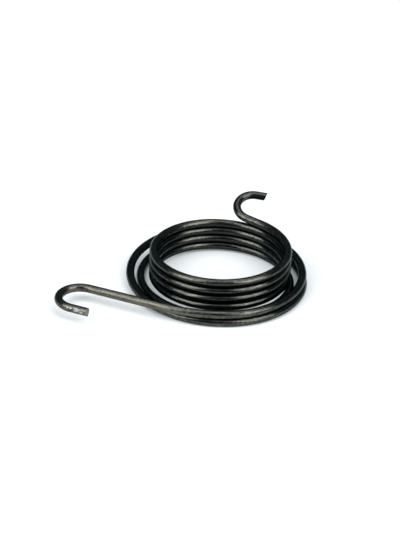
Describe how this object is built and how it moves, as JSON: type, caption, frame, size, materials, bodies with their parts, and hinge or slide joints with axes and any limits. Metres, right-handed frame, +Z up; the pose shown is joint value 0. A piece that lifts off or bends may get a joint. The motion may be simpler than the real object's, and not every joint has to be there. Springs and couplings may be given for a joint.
{
  "type": "kickstart return spring",
  "caption": "Torsion spring of round steel wire: a close-wound coil on looser outer loops, with a hook at each end.",
  "frame": {"origin": "on the axis of the close-wound coil, on the plane that the outer loops rest on", "axes": "+Z up along the coil's axis; +X to the right with the straight arm and its hook reaching out towards -X; +Y away from that hook's open side"},
  "size_m": [0.0743, 0.0584, 0.017],
  "materials": {
    "spring_wire": "dark drawn spring steel with a thin film of oil"
  },
  "bodies": {
    "root": {"kickstart_spring": "spring_wire"}
  },
  "joints": []
}
